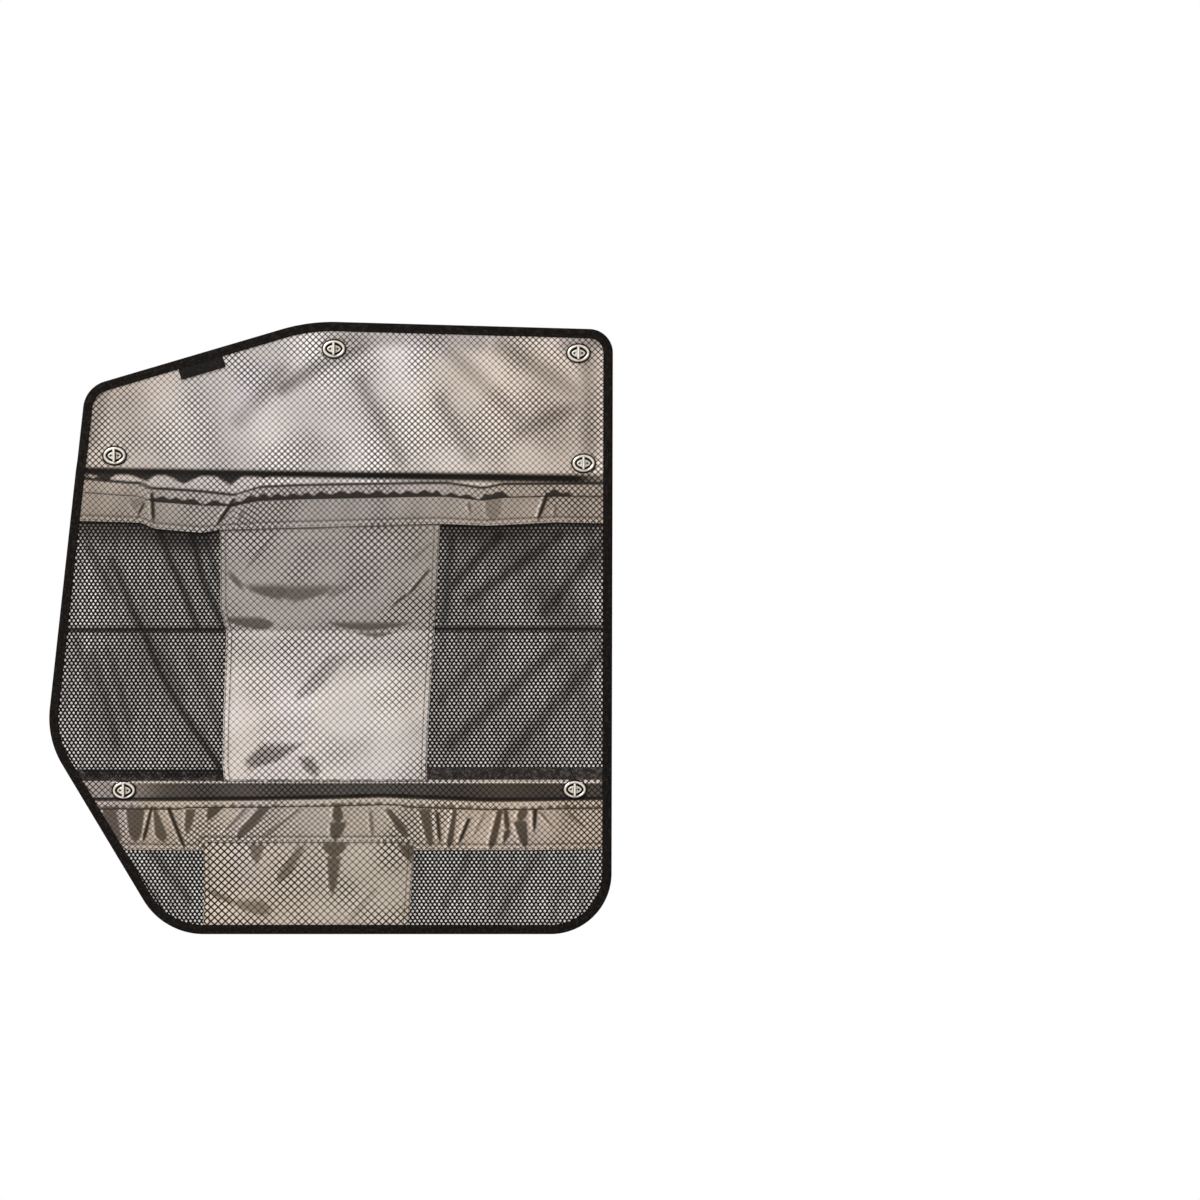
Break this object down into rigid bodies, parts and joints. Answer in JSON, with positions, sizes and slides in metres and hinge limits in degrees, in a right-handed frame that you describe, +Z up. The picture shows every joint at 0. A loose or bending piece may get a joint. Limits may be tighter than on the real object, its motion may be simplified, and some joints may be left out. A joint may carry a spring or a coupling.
{
  "type": "van door storage pouch",
  "caption": "Flat cloth pouch for a van door: bound ripstop panel, two elastic-topped pockets with net sides, held by oval turn buttons.",
  "frame": {"origin": "middle of the pouch's box", "axes": "+Z up the pouch, +X to the right seen from the front, +Y back into the door; the front faces -Y"},
  "size_m": [0.5629, 0.0198, 0.6122],
  "materials": {
    "silver_ripstop": "satin silver cloth with a dark diamond ripstop grid",
    "black_net": "matt black net",
    "black_tape": "matt woven tape",
    "elastic": "matt woven elastic",
    "nickel": "bright nickel plate"
  },
  "bodies": {
    "pouch": {"back_panel": "silver_ripstop", "edge_binding": "black_tape", "label_tab": "black_tape", "upper_pocket_top_band": "silver_ripstop", "upper_pocket_elastic": "elastic", "upper_pocket_middle_panel": "silver_ripstop", "upper_pocket_left_net": "black_net", "upper_pocket_right_net": "black_net", "upper_pocket_left_base_hem": "black_tape", "upper_pocket_right_base_hem": "black_tape", "lower_pocket_top_band": "silver_ripstop", "lower_pocket_elastic": "elastic", "lower_pocket_middle_panel": "silver_ripstop", "lower_pocket_left_net": "black_net", "lower_pocket_right_net": "black_net", "eyelet_top_middle": "nickel", "eyelet_plate_top_middle": "nickel", "stud_base_top_middle": "nickel", "spring_washer_top_middle": "nickel", "eyelet_top_right": "nickel", "eyelet_plate_top_right": "nickel", "stud_base_top_right": "nickel", "spring_washer_top_right": "nickel", "eyelet_side_left": "nickel", "eyelet_plate_side_left": "nickel", "stud_base_side_left": "nickel", "spring_washer_side_left": "nickel", "eyelet_side_right": "nickel", "eyelet_plate_side_right": "nickel", "stud_base_side_right": "nickel", "spring_washer_side_right": "nickel", "eyelet_low_left": "nickel", "eyelet_plate_low_left": "nickel", "stud_base_low_left": "nickel", "spring_washer_low_left": "nickel", "eyelet_low_right": "nickel", "eyelet_plate_low_right": "nickel", "stud_base_low_right": "nickel", "spring_washer_low_right": "nickel"},
    "head_top_middle": {"turn_head_top_middle": "nickel"},
    "head_top_right": {"turn_head_top_right": "nickel"},
    "head_side_left": {"turn_head_side_left": "nickel"},
    "head_side_right": {"turn_head_side_right": "nickel"},
    "head_low_left": {"turn_head_low_left": "nickel"},
    "head_low_right": {"turn_head_low_right": "nickel"}
  },
  "joints": [
    {"name": "turn_top_middle", "type": "hinge", "parent": "pouch", "child": "head_top_middle", "pos_m": [0.0025, 0, 0.279], "axis": [0, 1, 0], "range_deg": [-90, 90]},
    {"name": "turn_top_right", "type": "hinge", "parent": "pouch", "child": "head_top_right", "pos_m": [0.247, 0, 0.27475], "axis": [0, 1, 0], "range_deg": [-90, 90]},
    {"name": "turn_side_left", "type": "hinge", "parent": "pouch", "child": "head_side_left", "pos_m": [-0.21687, 0, 0.17222], "axis": [0, 1, 0], "range_deg": [-90, 90]},
    {"name": "turn_side_right", "type": "hinge", "parent": "pouch", "child": "head_side_right", "pos_m": [0.25214, 0, 0.16457], "axis": [0, 1, 0], "range_deg": [-90, 90]},
    {"name": "turn_low_left", "type": "hinge", "parent": "pouch", "child": "head_low_left", "pos_m": [-0.20752, 0, -0.16249], "axis": [0, 1, 0], "range_deg": [-90, 90]},
    {"name": "turn_low_right", "type": "hinge", "parent": "pouch", "child": "head_low_right", "pos_m": [0.24336, 0, -0.16149], "axis": [0, 1, 0], "range_deg": [-90, 90]}
  ]
}
